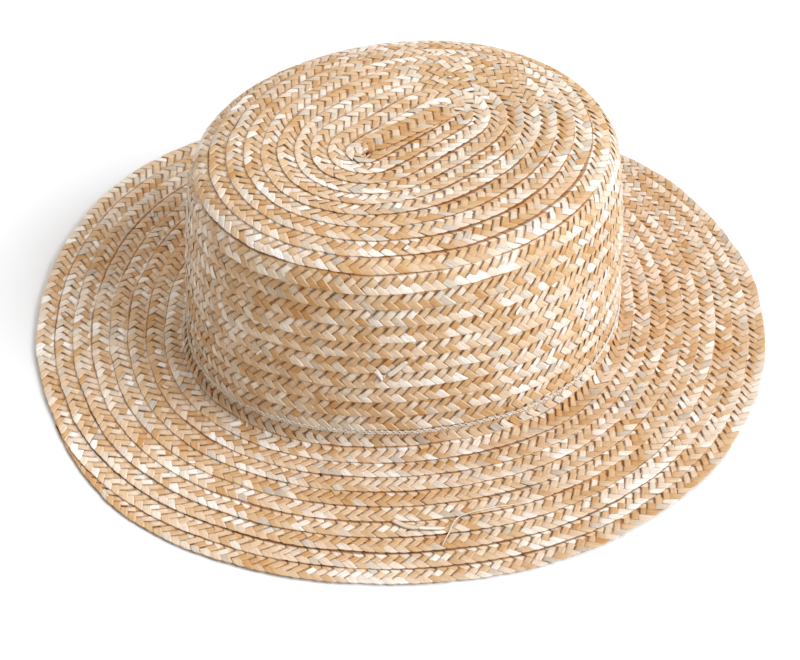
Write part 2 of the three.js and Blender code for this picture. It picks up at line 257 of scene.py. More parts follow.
def straw(k, trip0, trip1, lay_fn=None, shift=0):
    """Vertices, colours and strand coordinates of straw k of the strip over some trips."""
    n = trip1 - trip0
    trips = np.arange(trip0, trip1)
    total = int(LENGTH / TRIP) + 16
    m = np.repeat(trips, len(QS))
    Q = np.where(trips[:, None] % 2 == 0, QS[None, :], QS_BACK[None, :]).reshape(-1)
    skew = np.tile(SKEW, n)
    m = np.append(m, trip1)
    Q = np.append(Q, QS[0])
    skew = np.append(skew, 0.0)
    ring = len(m)
    m, Q0, skew = m[:, None], Q[:, None], skew[:, None]
    v = VJ[None, :]
    w = STRAW_W * (1 + 0.06 * noise1(m * 1.0, 11 + k, 3.0) + 0.09 * noise1(m * 1.0, 71 + k, 1.0))
    odd = (m % 2 == 1)
    w = w * np.where(odd, 1.10, 0.955)            # returning straws spread flatter
    wid = w / 2 * v
    Q = Q0 + skew * wid / math.sqrt(2)
    Qu = Q - wid / math.sqrt(2)              # distance run along the straw itself
    even = (m % 2 == 0)
    top = np.where(even, -1.0, 1.0)
    e = TRIP / 2 - np.abs(Q)
    phi = np.clip(e / LAYER, 0, math.pi / 2)
    qa = np.where(e < WRAP, HALF - LAYER + LAYER * np.cos(phi), HALF - LAYER - (e - WRAP))
    sgn = np.where(Q <= 0, -1.0, 1.0) * np.where(even, 1.0, -1.0)
    lo = np.where(even, DIVE_IN, DIVE_OUT) + 0.20 * noise1(m * 1.0, 61 + k, 1.0)
    hi = np.where(even, DIVE_OUT, DIVE_IN) + 0.20 * noise1(m * 1.0, 65 + k, 1.0)
    cross = (np.sin(np.pi / 2 * np.clip((Qu + lo) / 0.72, -1, 1))
             + np.sin(np.pi / 2 * np.clip((hi - Qu) / 0.72, -1, 1)) - 1) * np.where(even, 1.0, -1.0)
    lift = np.where(e < WRAP, top * np.sin(phi), cross)
    # outward direction of the bow, in (q, h), and the straw's own face direction
    rq = np.where(e < WRAP, sgn * np.cos(phi), 0.0)
    rh = np.where(e < WRAP, top * np.sin(phi), cross)
    flip = np.where(even, 1.0, -1.0)
    mq = np.where(e < WRAP, top * flip * rq, 0.0)
    mh = np.where(e < WRAP, top * flip * rh, flip)
    bow = BOW * np.where(odd, 0.62, 1.12) * (1 - v * v) * (1 + 0.30 * noise1(m * 1.0, 21 + k, 1.0))
    thick = STRAW_T / 2 * (0.35 + 0.65 * GJ) * NJ
    # small unevenness of each visible run
    half_run = (3 * m + (Q0 > -lo) + (Q0 > hi))
    ease = np.clip(np.minimum(np.abs(Qu + lo), np.abs(Qu - hi)) / 0.55, 0, 1) * np.clip(e / 0.9, 0, 1)
    jh = 0.12 * noise1(half_run * 1.0, 31 + k, 1.0) * ease
    js = 0.42 * noise1(m * 1.0 + Q / TRIP, 41 + k, 1.0) + 0.22 * noise1(2.0 * m + 2 * Q / TRIP, 45 + k, 1.0)
    row = np.interp(m * TRIP, _S, _R)
    upright = np.clip((row - 9.5) / 1.0, 0, 1) * np.clip((21.5 - row) / 1.0, 0, 1)    # 1 down the crown's side
    tilt = (np.where(odd, 0.08, -0.14) * (0.35 + 0.65 * upright) + 0.10 * noise1(half_run * 1.0, 51 + k, 1.0)) * v * ease
    q = sgn * qa + rq * bow + mq * thick
    h = lift * LAYER + rh * bow + mh * thick + (jh * np.sign(lift) + tilt)
    s = m * TRIP + Q - math.sqrt(2) * wid + k * STITCH + js
    # the folds bulge a little past the straight edge
    bulge = 0.16 * np.exp(-(e / 1.3) ** 2) * (1 - 0.9 * v * v)
    q = q + np.sign(q) * bulge
    p = (lay_fn or lay)(s, q, h)
    face = np.broadcast_to(NJ[None, :], p.shape[:2])
    # a tone changes where the straw is hidden underneath
    mc = m + (Q0 > 0) * (~even)
    ca, cb = shade(k, mc + shift, 0, total), shade(k, mc + shift, 1, total)
    mix = np.clip(0.5 + 0.5 * face, 0, 1)[..., None]
    col = ca * mix + cb * (1 - mix)
    # painted shade: where a straw dives under the others, its faces and sides are darkened and browned, standing in
    # for the shade in the plait's gaps
    up = face * flip
    inside = np.clip(-up * lift, 0, 1)[..., None] * (np.abs(face) > 0.5)[..., None]
    edge = 0.30 * (np.abs(face) < 0.5)[..., None] * np.clip(-lift, 0, 1)[..., None]
    inside = np.clip(inside + edge, 0, 1)
    # painted shade: the hidden parts are multiplied by a dark brown
    col = col * (1 - inside) + col * np.array((0.60, 0.34, 0.16)) * inside
    along = (m * TRIP + Q) * math.sqrt(2)
    along = np.broadcast_to(along, p.shape[:2])
    across = np.broadcast_to(wid, p.shape[:2])
    return p, col, along + 977.0 * k, across, face, q - (0 if lay_fn is None else 99.0)


def bleach_and_painted_light(pts, col, name):
    """The brim and the crown's side are browner on one flank and paler on the next: partly the straw's own bleaching,
    partly painted shade and painted light set to follow how the light falls.
    """
    az = np.arctan2(pts[..., 1], pts[..., 0])
    if name.startswith("brim"):
        # brim: darker around one azimuth and paler around another, partly painted shade and painted light
        browner_and_shaded = (0.5 + 0.5 * np.cos(az - math.radians(-15)))[..., None] ** 5
        pale = (0.5 + 0.5 * np.cos(az - math.radians(128)))[..., None] ** 5
        return col * (1 - browner_and_shaded * np.array((0.08, 0.13, 0.17)) + pale * np.array((0.07, 0.09, 0.12)))
    if not name.startswith("crown_side"):
        return col
    # crown's side: darker and browner around one azimuth and paler around another, partly painted shade and painted
    # light
    browner_and_shaded = (0.5 + 0.5 * np.cos(az - math.radians(-162)))[..., None] ** 8
    pale = (0.5 + 0.5 * np.cos(az - math.radians(-93)))[..., None] ** 3
    return col * (1 - browner_and_shaded * np.array((0.09, 0.16, 0.27)) + pale * np.array((0.05, 0.09, 0.14)))


def closed_ribbons(name, pieces, material, replaces=()):
    """One mesh of several closed ribbons. pieces: (points, colour, along, across, face)."""
    V, C, A, B, F, W = [], [], [], [], [], []
    base = 0
    J = 8
    # texture layout: columns of equal height
    total = sum(len(p[0]) for p in pieces) * 1.28
    width = 6.9
    sigma = 1 / math.sqrt(width * 1.06 * total * 1.12 + 1)
    colw = width * 1.06 * sigma
    col_i, col_y = 0, 0.0
    faces_all, uv_all, tri_all, tuv_all = [], [], [], []
    for pts, col, al, ac, fa, *rest in pieces:
        W.append((rest[0] if rest else np.zeros(pts.shape[:2])).reshape(-1))
        n = len(pts)
        V.append(pts.reshape(-1, 3)); C.append(bleach_and_painted_light(pts, col, name).reshape(-1, 3))
        A.append(al.reshape(-1)); B.append(ac.reshape(-1)); F.append(fa.reshape(-1))
        i = np.arange(n - 1)[:, None]
        j = np.arange(J)[None, :]
        a = base + i * J + j
        b = base + i * J + (j + 1) % J
        c = base + (i + 1) * J + (j + 1) % J
        d = base + (i + 1) * J + j
        faces_all.append(np.stack([a, b, c, d], -1).reshape(-1, 4))
        # column by column
        chunk = 24
        ii = np.arange(n - 1)
        ch = ii // chunk
        y0 = np.empty(n - 1); x0 = np.empty(n - 1)
        for cidx in range(ch[-1] + 1):
            sel = ch == cidx
            L = sel.sum() * 1.28 * sigma
            if col_y + L > 0.995:
                col_i += 1
                col_y = 0.002
            y0[sel] = col_y + (ii[sel] - cidx * chunk) * 1.28 * sigma
            x0[sel] = col_i * colw
            col_y += L + 2.2 * sigma
        u0 = x0[:, None] + (j / J) * width * sigma + 0.03 * width * sigma
        u1 = x0[:, None] + ((j + 1) / J) * width * sigma + 0.03 * width * sigma
        v0 = np.broadcast_to(y0[:, None], u0.shape); v1 = v0 + 1.28 * sigma
        uv_all.append(np.stack([np.stack([u0, v0], -1), np.stack([u1, v0], -1),
                                np.stack([u1, v1], -1), np.stack([u0, v1], -1)], 2).reshape(-1, 4, 2))
        # ends, closed by four-cornered faces
        for end, rev in ((0, True), (n - 1, False)):
            o = base + end * J
            caps = [(0, 1, 7, 7), (1, 2, 6, 7), (2, 3, 5, 6), (3, 4, 5, 5)]
            for cp in caps:
                idx = [o + x for x in cp]
                if rev:
                    idx = idx[::-1]
                tri_all.append(idx)
                yy = y0[0] if end == 0 else y0[-1] + 1.28 * sigma
                xx = x0[0] if end == 0 else x0[-1]
                tuv_all.append([(xx + 0.02 * colw * q_, yy + 0.0005 * q_) for q_ in range(4)])
        base += n * J
    V, C = np.concatenate(V), np.concatenate(C)
    quads = np.concatenate(faces_all); quv = np.concatenate(uv_all)
    span = max(1.0, (col_i + 1) * colw)
    me = bpy.data.meshes.new(name)
    caps_f, caps_uv = [], []
    for f, u in zip(tri_all, tuv_all):
        seen, ff, uu = set(), [], []
        for x, y in zip(f, u):
            if x not in seen:
                seen.add(x); ff.append(x); uu.append(y)
        caps_f.append(ff); caps_uv.append(uu)
    lv = np.concatenate([quads.reshape(-1), np.array([x for f in caps_f for x in f], np.int64)])
    sizes = np.concatenate([np.full(len(quads), 4), np.array([len(f) for f in caps_f], np.int64)])
    starts = np.concatenate([[0], np.cumsum(sizes)[:-1]])
    me.vertices.add(len(V)); me.loops.add(len(lv)); me.polygons.add(len(sizes))
    me.vertices.foreach_set("co", put(V).astype(np.float32).reshape(-1))
    me.loops.foreach_set("vertex_index", lv.astype(np.int32))
    me.polygons.foreach_set("loop_start", starts.astype(np.int32))
    me.update(calc_edges=True)
    uv = np.concatenate([quv.reshape(-1, 2), np.array([x for f in caps_uv for x in f])])
    uv[:, 0] /= span
    layer = me.uv_layers.new(name="OFBake")
    layer.data.foreach_set("uv", np.clip(uv, 0, 1).astype(np.float32).reshape(-1))
    at = me.attributes.new("straw_colour", "FLOAT_COLOR", "POINT")
    at.data.foreach_set("color", np.concatenate([C, np.ones((len(C), 1))], 1).astype(np.float32).reshape(-1))
    at = me.attributes.new("strand", "FLOAT_VECTOR", "POINT")
    at.data.foreach_set("vector", np.stack([np.concatenate(A), np.concatenate(B), np.concatenate(F)], 1).astype(np.float32).reshape(-1))
    at = me.attributes.new("across_plait", "FLOAT", "POINT")
    at.data.foreach_set("value", np.abs(np.concatenate(W) + HALF).astype(np.float32))
    me.polygons.foreach_set("use_smooth", np.ones(len(sizes), bool))
    me.materials.append(material)
    me.validate()
    ob = bpy.data.objects.new(name, me)
    bpy.context.scene.collection.objects.link(ob)
    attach(ob, "root")
    if replaces:
        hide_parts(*replaces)
    return ob


# -------------------------------------------------------------------- materials
def straw_material(name, tint=(1, 1, 1), bright=1.0):
    m = bpy.data.materials.new(name)
    m.use_nodes = True
    nt = m.node_tree
    N, L = nt.nodes, nt.links
    N.clear()
    out = N.new("ShaderNodeOutputMaterial")
    bs = N.new("ShaderNodeBsdfPrincipled")
    L.new(bs.outputs[0], out.inputs[0])
    bs.inputs["Specular IOR Level"].default_value = 0.34
    bs.inputs["IOR"].default_value = 1.46
    bs.inputs["Sheen Weight"].default_value = 0.04
    bs.inputs["Sheen Roughness"].default_value = 0.45
    col = N.new("ShaderNodeAttribute"); col.attribute_name = "straw_colour"
    st = N.new("ShaderNodeAttribute"); st.attribute_name = "strand"
    sep = N.new("ShaderNodeSeparateXYZ"); L.new(st.outputs["Vector"], sep.inputs[0])

    def math_(op, a, b=None, c=None):
        n = N.new("ShaderNodeMath"); n.operation = op
        for i, x in enumerate((a, b, c)):
            if x is None:
                continue
            if isinstance(x, (int, float)):
                n.inputs[i].default_value = x
            else:
                L.new(x, n.inputs[i])
        return n.outputs[0]

    def noise(sx, sy, detail=2.0, rough=0.55, off=0.0):
        cx = math_("MULTIPLY", sep.outputs[0], sx)
        cy = math_("MULTIPLY", sep.outputs[1], sy)
        cz = math_("ADD", math_("MULTIPLY", sep.outputs[2], 3.1), off)
        comb = N.new("ShaderNodeCombineXYZ")
        L.new(cx, comb.inputs[0]); L.new(cy, comb.inputs[1]); L.new(cz, comb.inputs[2])
        n = N.new("ShaderNodeTexNoise")
        n.inputs["Scale"].default_value = 1.0
        n.inputs["Detail"].default_value = detail
        n.inputs["Roughness"].default_value = rough
        L.new(comb.outputs[0], n.inputs["Vector"])
        return n.outputs["Fac"]
    fine = noise(0.16, 5.2, 3.0, 0.6)          # fibres along the straw
    broad = noise(0.05, 1.1, 1.0, 0.5, 17.0)    # slow streaks
    blot = noise(0.55, 0.8, 2.0, 0.6, 41.0)     # weathering blotches
    # pith side is rougher and more fibrous
    gloss = N.new("ShaderNodeMapRange")
    L.new(sep.outputs[2], gloss.inputs[0])
    gloss.inputs[1].default_value = -1; gloss.inputs[2].default_value = 1
    gloss.inputs[3].default_value = 0; gloss.inputs[4].default_value = 1
    g = gloss.outputs[0]
    amp = math_("MULTIPLY_ADD", g, -0.20, 0.66)
    f1 = math_("MULTIPLY", math_("SUBTRACT", fine, 0.5), amp)
    f2 = math_("MULTIPLY", math_("SUBTRACT", broad, 0.5), 0.48)
    f3 = math_("MULTIPLY", math_("SUBTRACT", blot, 0.5), 0.40)
    total = math_("ADD", math_("ADD", f1, f2), f3)
    fac = math_("ADD", total, 1.0)
    mul = N.new("ShaderNodeVectorMath"); mul.operation = "MULTIPLY"
    L.new(col.outputs["Color"], mul.inputs[0])
    cmb = N.new("ShaderNodeCombineXYZ")
    # the red channel varies least, so dark fibres are browner and light ones creamier
    L.new(math_("MULTIPLY", math_("MULTIPLY_ADD", total, 0.70, 1.0), tint[0] * bright), cmb.inputs[0])
    L.new(math_("MULTIPLY", math_("MULTIPLY_ADD", total, 1.0, 1.0), tint[1] * bright), cmb.inputs[1])
    L.new(math_("MULTIPLY", math_("MULTIPLY_ADD", total, 1.45, 1.0), tint[2] * bright), cmb.inputs[2])
    L.new(cmb.outputs[0], mul.inputs[1])
    # painted shade: straw near the plait's inner edge, in the crevice under the row before it, is multiplied towards
    # a dark brown
    ap = N.new("ShaderNodeAttribute"); ap.attribute_name = "across_plait"
    near = N.new("ShaderNodeMapRange"); L.new(ap.outputs["Fac"], near.inputs[0])
    near.inputs[1].default_value = 1.15; near.inputs[2].default_value = 1.75
    near.inputs[3].default_value = 0.88; near.inputs[4].default_value = 0.0
    painted_row_shade = N.new("ShaderNodeMix"); painted_row_shade.data_type = "RGBA"; painted_row_shade.blend_type = "MULTIPLY"
    L.new(near.outputs[0], painted_row_shade.inputs[0])
    L.new(mul.outputs[0], painted_row_shade.inputs[6]); painted_row_shade.inputs[7].default_value = (0.42, 0.22, 0.09, 1)
    # straw edges lightened and cooled: partly the paler cut edges of the straw, partly a painted highlight where
    # raised edges catch the light
    edge = N.new("ShaderNodeMapRange")
    L.new(math_("ABSOLUTE", sep.outputs[1]), edge.inputs[0])
    edge.inputs[1].default_value = 1.30; edge.inputs[2].default_value = 1.58
    edge.inputs[3].default_value = 0.0; edge.inputs[4].default_value = 1.0
    pale_edge_and_highlight = N.new("ShaderNodeMix"); pale_edge_and_highlight.data_type = "RGBA"; pale_edge_and_highlight.blend_type = "MULTIPLY"; pale_edge_and_highlight.clamp_result = False
    L.new(edge.outputs[0], pale_edge_and_highlight.inputs[0])
    L.new(painted_row_shade.outputs[2], pale_edge_and_highlight.inputs[6]); pale_edge_and_highlight.inputs[7].default_value = (1.13, 1.19, 1.27, 1)
    L.new(pale_edge_and_highlight.outputs[2], bs.inputs["Base Color"])
    rough = math_("ADD", math_("MULTIPLY_ADD", g, -0.20, 0.60), math_("MULTIPLY", math_("SUBTRACT", blot, 0.5), 0.18))
    L.new(rough, bs.inputs["Roughness"])
    bump = N.new("ShaderNodeBump")
    bump.inputs["Strength"].default_value = 0.55
    bump.inputs["Distance"].default_value = 0.00012
    L.new(math_("ADD", math_("MULTIPLY", fine, amp), math_("MULTIPLY", broad, 0.5)), bump.inputs["Height"])
    L.new(bump.outputs[0], bs.inputs["Normal"])
    return m


M_TIP = straw_material("straw_tip")
M_SIDE = straw_material("straw_side")
M_BRIM = straw_material("straw_brim")
M_EDGE = straw_material("straw_edge")

# ------------------------------------------------------- the plait, section by section


def s_of(R):
    return float(np.interp(R, _R, _S))


def section(name, R0, R1, material, replaces=()):
    pieces = []
    for k in range(ENDS):
        a = int(round((s_of(R0) - k * STITCH) / TRIP)) if R0 > FIRST + 0.01 else 0
        b = int(round((s_of(R1) - k * STITCH) / TRIP))
        b = min(b, int((LENGTH - 2 - k * STITCH) / TRIP))
        pieces.append(straw(k, a, b))
    return closed_ribbons(name, pieces, material, replaces)


section("crown_tip_plait_inner", FIRST, 7.2, M_TIP, ["crown_tip_plait"])
section("crown_tip_plait_outer", 7.2, 10.05, M_TIP, ["crown_tip_plait"])
section("crown_side_plait_upper", 10.05, 14.0, M_SIDE, ["crown_side_plait"])
section("crown_side_plait_middle", 14.0, 17.6, M_SIDE, ["crown_side_plait"])
section("crown_side_plait_lower", 17.6, 21.0, M_SIDE, ["crown_side_plait"])
section("brim_plait_inner", 21.0, 24.0, M_BRIM, ["brim_plait"])
section("brim_plait_middle", 24.0, 26.6, M_BRIM, ["brim_plait"])
section("brim_plait_outer", 26.6, 29.0, M_BRIM, ["brim_plait"])
section("brim_edge_plait_row", 29.0, 29.89, M_EDGE, ["brim_edge_plait"])
section("plait_end_tail_taper", 29.89, 30.0, M_EDGE, ["plait_end_tail"])

# the first stretch lies straight over the middle of the tip and folds under at one end
START_X, FOLD_X, START_Y = -25.5, 23.6, 1.5


def lay_start(s, q, h):
    x = START_X + s
    y = START_Y + 1.20 * q + 0.18 * noise1(s, 91, 12) + 0.10 * noise1(s, 92, 5) - 0.085 * (x + 3)
    z0 = PROFILE[0, 2] + 0.22 - 2.7 * step(-13, -25, x)
    th = np.clip((x - FOLD_X) / 0.85, 0, math.pi)
    over = np.maximum(x - FOLD_X - 0.85 * math.pi, 0)
    px = np.minimum(x, FOLD_X) + 0.85 * np.sin(th) - over + h * np.sin(th)
    pz = z0 - 0.85 * (1 - np.cos(th)) + h * np.cos(th)
    return np.stack([px, y, pz], -1)


def lay_tail(s, q, h):
    x = -20.2 + s
    return np.stack([x, 1.03 * q + 0.2 * noise1(s, 93, 11), PROFILE[0, 2] - 3.0 + h + 0 * x], -1)


closed_ribbons("crown_tip_plait_start", [straw(k, 0, 7 - (k > 1), lay_start) for k in range(ENDS)],
               M_TIP, ["crown_tip_plait"])
closed_ribbons("plait_start_tail_fold", [straw(k, 0, 5 - (k > 1), lay_tail, 3) for k in range(ENDS)],
               M_TIP, ["plait_start_tail"])


# ------------------------------------------------------------ thread and sweatband
def fabric(name, colour, rough, period, strength, sheen=0.25):
    m = bpy.data.materials.new(name)
    m.use_nodes = True
    nt = m.node_tree
    N, L = nt.nodes, nt.links
    bs = N["Principled BSDF"]
    bs.inputs["Roughness"].default_value = rough
    bs.inputs["Specular IOR Level"].default_value = 0.3
    bs.inputs["Sheen Weight"].default_value = sheen
    bs.inputs["Sheen Roughness"].default_value = 0.5
    at = N.new("ShaderNodeAttribute"); at.attribute_name = "cloth_mm"
    wv = N.new("ShaderNodeTexWave"); wv.bands_direction = "DIAGONAL"
    wv.inputs["Scale"].default_value = 1.0 / period
    wv.inputs["Distortion"].default_value = 0.6
    wv.inputs["Detail"].default_value = 1.0
    L.new(at.outputs["Vector"], wv.inputs["Vector"])
    ns = N.new("ShaderNodeTexNoise")
    ns.inputs["Scale"].default_value = 0.16
    ns.inputs["Detail"].default_value = 4.0
    L.new(at.outputs["Vector"], ns.inputs["Vector"])
    mx = N.new("ShaderNodeMix"); mx.data_type = "RGBA"
    mx.inputs[6].default_value = (*[c * 0.80 for c in colour], 1)
    mx.inputs[7].default_value = (*colour, 1)
    ad = N.new("ShaderNodeMath"); ad.operation = "MULTIPLY_ADD"
    L.new(wv.outputs["Fac"], ad.inputs[0]); ad.inputs[1].default_value = 0.45
    L.new(ns.outputs["Fac"], ad.inputs[2])
    L.new(ad.outputs[0], mx.inputs[0])
    L.new(mx.outputs[2], bs.inputs["Base Color"])
    bp = N.new("ShaderNodeBump")
    bp.inputs["Strength"].default_value = strength
    bp.inputs["Distance"].default_value = 0.0002
    L.new(wv.outputs["Fac"], bp.inputs["Height"])
    L.new(bp.outputs[0], bs.inputs["Normal"])
    return m


M_THREAD = fabric("sewing_thread", (0.80, 0.71, 0.57), 0.75, 0.5, 0.5)
M_BAND = fabric("sweatband_cloth", (0.80, 0.74, 0.64), 0.88, 0.55, 0.6, 0.35)
M_BTHREAD = fabric("band_thread", (0.94, 0.83, 0.69), 0.7, 0.5, 0.5)


def grid_mesh(name, P, material, replaces=(), mm=None, closed_j=True, scale=1.0):
    """A closed tube of rings P[n, j, 3] in the oval frame, capped at both ends, with its own texture layout."""
    n, J = P.shape[:2]
    me = bpy.data.meshes.new(name)
    i = np.arange(n - 1)[:, None]
    j = np.arange(J)[None, :]
    q = np.stack([i * J + j, i * J + (j + 1) % J, (i + 1) * J + (j + 1) % J, (i + 1) * J + j], -1).reshape(-1, 4)
    faces = q.tolist() + [list(range(J))[::-1], [(n - 1) * J + x for x in range(J)]]
    me.from_pydata(put(P).reshape(-1, 3).tolist(), [], faces)
    # texture layout in columns
    per = np.linalg.norm(np.roll(P[0], -1, 0) - P[0], axis=-1).sum()
    step_ = np.linalg.norm(np.diff(P.mean(1), axis=0), axis=-1)
    total = step_.sum()
    cols = max(1, int(math.sqrt(total / (per * 1.3)) * 1.06))
    per_col = int(math.ceil((n - 1) / cols))
    uv = np.zeros((len(faces) * 0 + (n - 1) * J * 4 + 2 * J, 2), np.float32)
    ii, jj = np.meshgrid(np.arange(n - 1), np.arange(J), indexing="ij")
    c = ii // per_col
    r = ii % per_col
    u0 = (c + 0.06 + 0.86 * jj / J) / cols
    u1 = (c + 0.06 + 0.86 * (jj + 1) / J) / cols
    v0 = 0.003 + 0.985 * r / per_col
    v1 = 0.003 + 0.985 * (r + 1) / per_col
    uv[:(n - 1) * J * 4] = np.stack([np.stack([u0, v0], -1), np.stack([u1, v0], -1),
                                     np.stack([u1, v1], -1), np.stack([u0, v1], -1)], 2).reshape(-1, 2)
    for e in range(2):
        a = np.linspace(0, 2 * np.pi, J, endpoint=False)
        uv[(n - 1) * J * 4 + e * J:(n - 1) * J * 4 + (e + 1) * J] = np.stack([0.995 + 0.002 * np.cos(a), 0.01 + 0.01 * e + 0.002 * np.sin(a)], -1)
    layer = me.uv_layers.new(name="OFBake")
    layer.data.foreach_set("uv", uv.reshape(-1))
    if mm is None:
        s = np.concatenate([[0], np.cumsum(step_)])
        mm = np.stack([np.broadcast_to(s[:, None], (n, J)), np.broadcast_to(np.arange(J)[None, :] * 0.25, (n, J)),
                       np.zeros((n, J))], -1)
    at = me.attributes.new("cloth_mm", "FLOAT_VECTOR", "POINT")
    at.data.foreach_set("vector", mm.astype(np.float32).reshape(-1))
    me.polygons.foreach_set("use_smooth", np.ones(len(faces), bool))
    me.materials.append(material)
    me.update()
    ob = bpy.data.objects.new(name, me)
    bpy.context.scene.collection.objects.link(ob)
    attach(ob, "root")
    if replaces:
        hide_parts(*replaces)
    return ob


def tube(path, up, radius, sides=5):
    """Rings around a path; radius may vary along it."""
    T = np.gradient(path, axis=0)
    T /= np.linalg.norm(T, axis=1, keepdims=True) + 1e-9
    B = np.cross(T, up)
    B /= np.linalg.norm(B, axis=1, keepdims=True) + 1e-9
    U = np.cross(B, T)
    a = np.linspace(0, 2 * np.pi, sides, endpoint=False)
    rad = np.broadcast_to(np.asarray(radius, float), (len(path),))
    return path[:, None] + rad[:, None, None] * (np.cos(a)[None, :, None] * U[:, None] + np.sin(a)[None, :, None] * B[:, None])


def row_thread(name, node, R0, R1):
    n = int((s_of(R1) - s_of(R0)) / (STITCH / 4))
    s = s_of(R0) + np.arange(n) * STITCH / 4
    R = np.interp(s, _S, _R)
    t = END_ANGLE - 360 * (R - ROW_END) - OVAL_TURN
    ph = np.arange(n) % 4
    side = np.array([0.22, 0.10, -0.22, -0.05])[ph] + 0.08 * noise1(s, 97, 3)
    rho = R - 0.085 + side / 7.2
    h = -(2 * MID + STACK * 1.06 + 0.16) - np.array([-0.10, 0.05, 0.08, 0.0])[ph]
    p = chart(rho, t, h)
    return grid_mesh(name, tube(p, normal(rho, t), np.array([0.15, 0.25, 0.27, 0.2])[ph]), M_THREAD, [node])


row_thread("tip_thread_chain", "tip_thread", 1.6, 9.75)
row_thread("side_thread_chain", "side_thread", 10.4, 20.3)
row_thread("brim_thread_chain", "brim_thread", 21.4, 29.0)

# sweatband: a cotton tape, stitched near its lower edge, hanging free above
BAND_LOW, BAND_H, BAND_T = 20.28, 28.0, 0.62


def band_rings(t0, t1, n, inner, low=BAND_LOW, high=BAND_H, seed=0):
    """Closed section around the tape: outer face, turned top edge, inner face, lower edge."""
    w = np.concatenate([np.linspace(0, 1, 10), np.linspace(1, 0, 10)])
    face = np.concatenate([np.zeros(10), np.ones(10)])
    t = np.linspace(t0, t1, n)[:, None] + 0 * w[None, :]
    mmv = w[None, :] * high
    rho = low - mmv / 7.02
    off = 3.35 + 0.75 * step(3, 22, mmv) + inner
    wave = (0.30 * noise1(t * 1.6, 81 + seed, 14) + 0.16 * noise1(t * 1.6, 82 + seed, 5)) * step(2, 20, mmv)
    thick = BAND_T * (1 - 0.35 * ((mmv < 0.2) | (mmv > high - 0.2)))
    pucker = 0.10 * np.sin(t * 1.6 * 2 * np.pi / 3.4) * np.exp(-((mmv - 2.3) / 1.6) ** 2)
    h = -(off + wave + pucker) - face[None, :] * thick
    # hemmed edges are a little thicker
    hem = 0.12 * np.exp(-((mmv - 1.0) / 0.9) ** 2) + 0.12 * np.exp(-((mmv - high + 1.0) / 0.9) ** 2)
    h = h - np.where(face[None, :] > 0, hem, -hem * 0.4)
    P = chart(rho, t, h)
    mm = np.stack([t * 1.59, mmv + 0 * t, face[None, :] * 3 + 0 * t], -1)
    return P, mm


P, mm = band_rings(179.5, -179.5, 330, 0.0)
band = grid_mesh("sweatband_tape", P, M_BAND, ["sweatband"], mm)
P, mm = band_rings(187, 173, 16, 0.62 + 0.32, BAND_LOW - 0.08, BAND_H - 1.0, 5)
lap = grid_mesh("sweatband_lap_end", P, M_BAND, ["sweatband_lap"], mm)


def zigzag(name, node, rho0, amp, period, hout, radius, t0=180.0, t1=-180.0, lumps=0.25):
    n = int(557 / period * 6)
    t = np.linspace(t0, t1, n)
    ph = np.arange(n) / 6.0
    tri = 2 * np.abs(2 * (ph - np.floor(ph + 0.5))) - 1
    rho = rho0 + (amp * tri + 0.30 * noise1(ph, 33, 1.3) + 0.2 * noise1(ph, 36, 5.3)) / 7.02
    h = hout + 0.16 * np.cos(2 * np.pi * ph * 2) + 0.14 * noise1(ph, 34, 0.9)
    r = radius * (1 + lumps * noise1(ph, 35, 0.7))
    p = chart(rho, t, h)
    return grid_mesh(name, tube(p, normal(rho, t), r), M_BTHREAD, [node] if node else [])


zigzag("sweatband_thread_outside", "sweatband_thread", 19.95, 0.75, 2.3, -0.07, 0.33)
zigzag("sweatband_thread_second", "sweatband_thread", 19.99, -0.62, 2.3, -0.08, 0.30)

zigzag("sweatband_thread_inside", "sweatband_thread", 19.95, 0.70, 2.3, -4.20, 0.26)

# ------------------------------------------- loose straw ends, splices, a pulled thread


def loose_ribbon(a0, r0, a1, r1, h0, h1, width, shade_i, curl=0.0, n=14, seed=1):
    """A straw lying on the hat from (alpha, row) to (alpha, row), rising from h0 to h1."""
    f = np.linspace(0, 1, n)[:, None]
    al = a0 + (a1 - a0) * f
    rho = r0 + (r1 - r0) * f + curl * np.sin(np.pi * f) / 7.2
    t = al - OVAL_TURN
    c = chart(rho[:, 0], t[:, 0], (h0 + (h1 - h0) * f * f)[:, 0])
    up = normal(rho[:, 0], t[:, 0])
    T = np.gradient(c, axis=0); T /= np.linalg.norm(T, axis=1, keepdims=True)
    B = np.cross(up, T); B /= np.linalg.norm(B, axis=1, keepdims=True)
    taper = (1 - 0.55 * np.clip((f - 0.8) / 0.2, 0, 1))
    v = VJ[None, :]
    side = (width / 2 * taper) * v
    lift_ = 0.22 * (1 - v * v) + STRAW_T / 2 * (0.35 + 0.65 * GJ[None, :]) * NJ[None, :] + 0 * f
    P = c[:, None] + B[:, None] * side[..., None] + up[:, None] * lift_[..., None]
    col = np.broadcast_to(SHADES[shade_i], P.shape).copy()
    along = np.broadcast_to(f * 20 + 511 * seed, P.shape[:2])
    return P, col, along, np.broadcast_to(side, P.shape[:2]), np.broadcast_to(NJ[None, :], P.shape[:2])


ends = []
g = np.random.default_rng(77)
for _i in range(34):
    R_ = float(g.uniform(2.5, 28.5))
    al_ = END_ANGLE - 360 * (R_ - ROW_END)
    rowlen = 60 + 6.0 * R_
    d_ = math.degrees(g.uniform(2.0, 5.0) / rowlen)
    out_ = float(g.choice([-1, 1]))
    q_ = float(g.uniform(0.15, 0.75))
    ends.append(loose_ribbon(al_, R_ - q_, al_ - d_ * (1 if out_ > 0 else -0.3), R_ - q_ + out_ * 0.28,
                             -0.25, float(g.uniform(0.25, 0.9)), float(g.uniform(0.8, 2.0)), int(g.integers(1, 7)), 0.0, 8, _i + 2))
